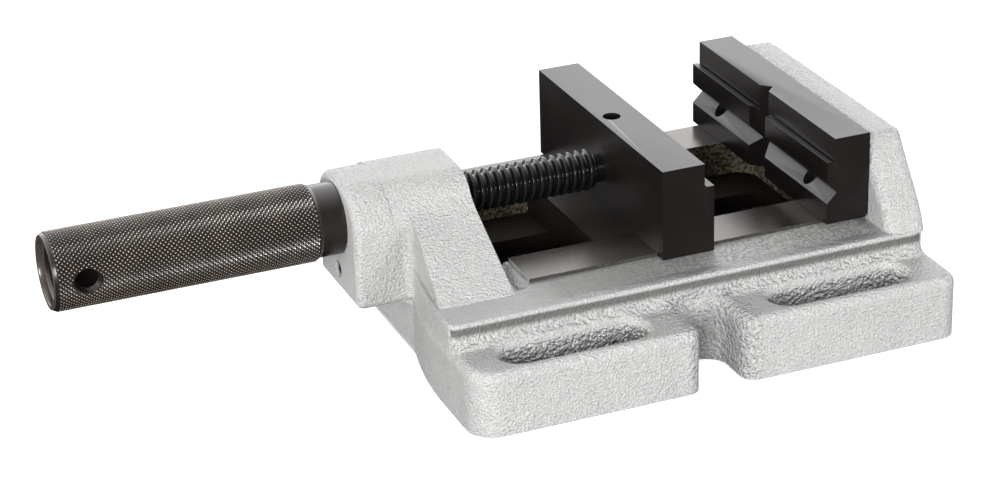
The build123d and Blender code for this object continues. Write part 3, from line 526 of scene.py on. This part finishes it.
carve(spindle, neck, "UNION")
bpy.ops.object.shade_smooth_by_angle(angle=radians(45))
from_axis = bpy.data.node_groups.new("from_axis", "ShaderNodeTree")
from_axis.interface.new_socket("Radius", in_out="OUTPUT", socket_type="NodeSocketFloat")
_, _, y, z = places(from_axis)
off_y = maths(from_axis, "SUBTRACT", y, AXIS_Y)
off_z = maths(from_axis, "SUBTRACT", z, AXIS_Z)
squares = maths(from_axis, "MULTIPLY_ADD", off_y, off_y, maths(from_axis, "MULTIPLY", off_z, off_z))
feed(from_axis, from_axis.nodes.new("NodeGroupOutput").inputs[0], maths(from_axis, "SQRT", squares))
finish, tree, shader = new_finish("rolled_thread")
cloud, grain = add(tree, "ShaderNodeGroup", node_tree=wear).outputs[:2]
radius = add(tree, "ShaderNodeGroup", node_tree=from_axis).outputs[0]
crest = fade(tree, maths(tree, "MULTIPLY_ADD", cloud, 0.0004, radius), *RUBBED_CREST)
oiled = blend(tree, grain, OILED_DARK, OILED_LIGHT)
feed(tree, shader.inputs["Base Color"], blend(tree, crest, oiled, CREST_BLACK))
feed(tree, shader.inputs["Metallic"], maths(tree, "MULTIPLY", crest, 0.4))
feed(tree, shader.inputs["Roughness"], blend(tree, grain, 0.08, 0.17, "FLOAT"))
shader.inputs["Specular IOR Level"].default_value = 0.3
spindle.data.materials.append(finish)
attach(spindle, "slider")
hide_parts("spindle")

# Handle: a turned and blackened steel tube with a cut diamond knurl, a plain collar at the boss and a
# chamfered hole for a tommy bar. The knurl is a sheet of small pyramids round the tube, and the rest is drawn
# on from its two rims.
KNURL_FROM, KNURL_TO, KNURL_ROWS, KNURL_ROUND = -0.1925, -0.1066, 53, 51
KNURL_ROOT, KNURL_DEPTH = 0.0125, 0.00048
LATHED = ((-0.1935, 0.0120), (-0.1935, 0.0107), (-0.1931, 0.0105), (-0.1915, 0.0105), (-0.1905, 0.00925),
          (-0.11752, 0.00925), (-0.11752, 0.00952), (-0.09755, 0.00952), (-0.09755, 0.0115),
          (-0.0979, 0.0119), (-0.1055, 0.0119))
TOMMY_X, TOMMY_R, TOMMY_DEPTH, TOMMY_CHAMFER, TOMMY_FLARE = -0.1829, 0.004, 0.0236, 0.0018, 1.45
WORN_END_X, WORN_END_R, RUBBED_TIP = -0.1912, 0.0121, (0.01280, 0.01297)
KNURL_DARK, KNURL_LIGHT = (0.009, 0.007, 0.006, 1), (0.020, 0.016, 0.014, 1)
KNURL_TIPS = (0.78, 0.68, 0.58, 1)
END_DARK, END_LIGHT = (0.05, 0.043, 0.038, 1), (0.13, 0.115, 0.10, 1)


def pick(piece, kind, wanted):
    """Selects a piece's edges or faces by a test, from edit mode and back."""
    bpy.ops.mesh.select_mode(type=kind)
    bpy.ops.mesh.select_all(action="DESELECT")
    bpy.ops.object.mode_set(mode="OBJECT")
    for part in {"EDGE": piece.data.edges, "FACE": piece.data.polygons}[kind]:
        part.select = wanted(part)
    bpy.ops.object.mode_set(mode="EDIT")


def at(piece, x):
    """A test for a piece's edges that lie at one place along the axis."""
    return lambda edge: all(abs(piece.data.vertices[i].co.x - x) < 0.000005 for i in edge.vertices)


bpy.ops.mesh.primitive_circle_add(vertices=KNURL_ROUND, radius=KNURL_ROOT,
                                  location=(KNURL_FROM, AXIS_Y, AXIS_Z), rotation=(0, pi / 2, 0))
handle = bpy.context.object
handle.name = "knurled_handle"
bpy.ops.object.transform_apply(location=True, rotation=True, scale=True)
bpy.ops.object.mode_set(mode="EDIT")
bpy.ops.mesh.select_mode(type="EDGE")
bpy.ops.mesh.select_all(action="SELECT")
row_step = (KNURL_TO - KNURL_FROM) / KNURL_ROWS
for row in range(KNURL_ROWS):
    bpy.ops.mesh.extrude_edges_move(TRANSFORM_OT_translate={"value": (row_step, 0, 0)})
bpy.ops.mesh.select_all(action="SELECT")
bpy.ops.mesh.normals_make_consistent(inside=False)
bpy.ops.mesh.poke()
grid = KNURL_ROUND * (KNURL_ROWS + 1)
first_rim, last_rim = at(handle, KNURL_FROM), at(handle, KNURL_TO)
pick(handle, "EDGE", lambda edge: max(edge.vertices) < grid and not first_rim(edge) and not last_rim(edge))
bpy.ops.mesh.dissolve_edges(use_verts=False, use_face_split=False)
bpy.ops.mesh.select_mode(type="FACE")
bpy.ops.mesh.select_all(action="DESELECT")
bpy.ops.mesh.select_face_by_sides(number=4, type="EQUAL")
bpy.ops.mesh.poke(offset=KNURL_DEPTH)
pick(handle, "EDGE", first_rim)
last_x, last_r = KNURL_FROM, KNURL_ROOT
for next_x, next_r in LATHED:
    bpy.ops.mesh.extrude_edges_move(TRANSFORM_OT_translate={"value": (next_x - last_x, 0, 0)})
    growth = next_r / last_r
    bpy.ops.transform.resize(value=(1, growth, growth), center_override=(next_x, AXIS_Y, AXIS_Z))
    last_x, last_r = next_x, next_r
inner = at(handle, last_x)
pick(handle, "EDGE", lambda edge: last_rim(edge) or inner(edge))
bpy.ops.mesh.bridge_edge_loops()
bpy.ops.mesh.select_all(action="SELECT")
bpy.ops.mesh.normals_make_consistent(inside=False)
bpy.ops.object.mode_set(mode="OBJECT")
bpy.ops.mesh.primitive_cylinder_add(vertices=48, radius=TOMMY_R, depth=TOMMY_DEPTH,
                                    location=(TOMMY_X, AXIS_Y, AXIS_Z), rotation=(pi / 2, 0, 0))
drill = bpy.context.object
bpy.ops.object.transform_apply(location=True, rotation=True, scale=True)
bpy.ops.object.mode_set(mode="EDIT")
for side in (-1, 1):
    pick(drill, "FACE", lambda face: face.normal.y * side > 0.9)
    bpy.ops.mesh.extrude_region_move(TRANSFORM_OT_translate={"value": (0, side * TOMMY_CHAMFER, 0)})
    bpy.ops.transform.resize(value=(TOMMY_FLARE, 1, TOMMY_FLARE), center_override=(TOMMY_X, AXIS_Y, AXIS_Z))
bpy.ops.object.mode_set(mode="OBJECT")
carve(handle, drill, "DIFFERENCE")
bpy.ops.object.shade_smooth_by_angle(angle=radians(28))
finish, tree, shader = new_finish("knurled_black")
cloud, grain = add(tree, "ShaderNodeGroup", node_tree=wear).outputs[:2]
radius = add(tree, "ShaderNodeGroup", node_tree=from_axis).outputs[0]
tip = fade(tree, maths(tree, "MULTIPLY_ADD", cloud, 0.0001, radius), *RUBBED_TIP)
_, x, _, _ = places(tree)
worn_end = where_all(tree, maths(tree, "LESS_THAN", x, WORN_END_X),
                     maths(tree, "LESS_THAN", radius, WORN_END_R))
black = blend(tree, cloud, KNURL_DARK, KNURL_LIGHT)
black = blend(tree, worn_end, black, blend(tree, grain, END_DARK, END_LIGHT))
feed(tree, shader.inputs["Base Color"], blend(tree, tip, black, KNURL_TIPS))
rubbed_metal = maths(tree, "MULTIPLY_ADD", worn_end, 0.3, 0.1)
feed(tree, shader.inputs["Metallic"], maths(tree, "MULTIPLY_ADD", tip, 0.4, rubbed_metal))
feed(tree, shader.inputs["Roughness"], blend(tree, cloud, 0.20, 0.36, "FLOAT"))
handle.data.materials.append(finish)
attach(handle, "crank")
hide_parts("handle")

# Moving jaw: a ground and blackened steel block like the fixed one, sliding on the ways. It is tapped from
# above for the grub screw that holds the spindle's neck.
moving_jaw = own_copy("moving_jaw_block", "moving_jaw", GROUND_EDGE)
moving_jaw.data.materials.append(blackened)
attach(moving_jaw, "slider")
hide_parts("moving_jaw")
nodes["spindle_lock_screw"].material_slots[0].material = screw_black

# Guide: a milled steel block under the moving jaw, in the channel, with a tongue through the slit and a
# keeper plate below the channel's floor. Two screws hold each.
GUIDE_DARK, GUIDE_LIGHT = (0.006, 0.005, 0.004), (0.022, 0.018, 0.015)
guide_steel = worn_metal("milled_guide", GUIDE_DARK, GUIDE_LIGHT, 0.34, 0.50, 0.0, 0.08)
for name in ("guide_block", "keeper_plate"):
    nodes[name].material_slots[0].material = guide_steel
for name in ("guide_screws", "keeper_screws"):
    nodes[name].material_slots[0].material = screw_black
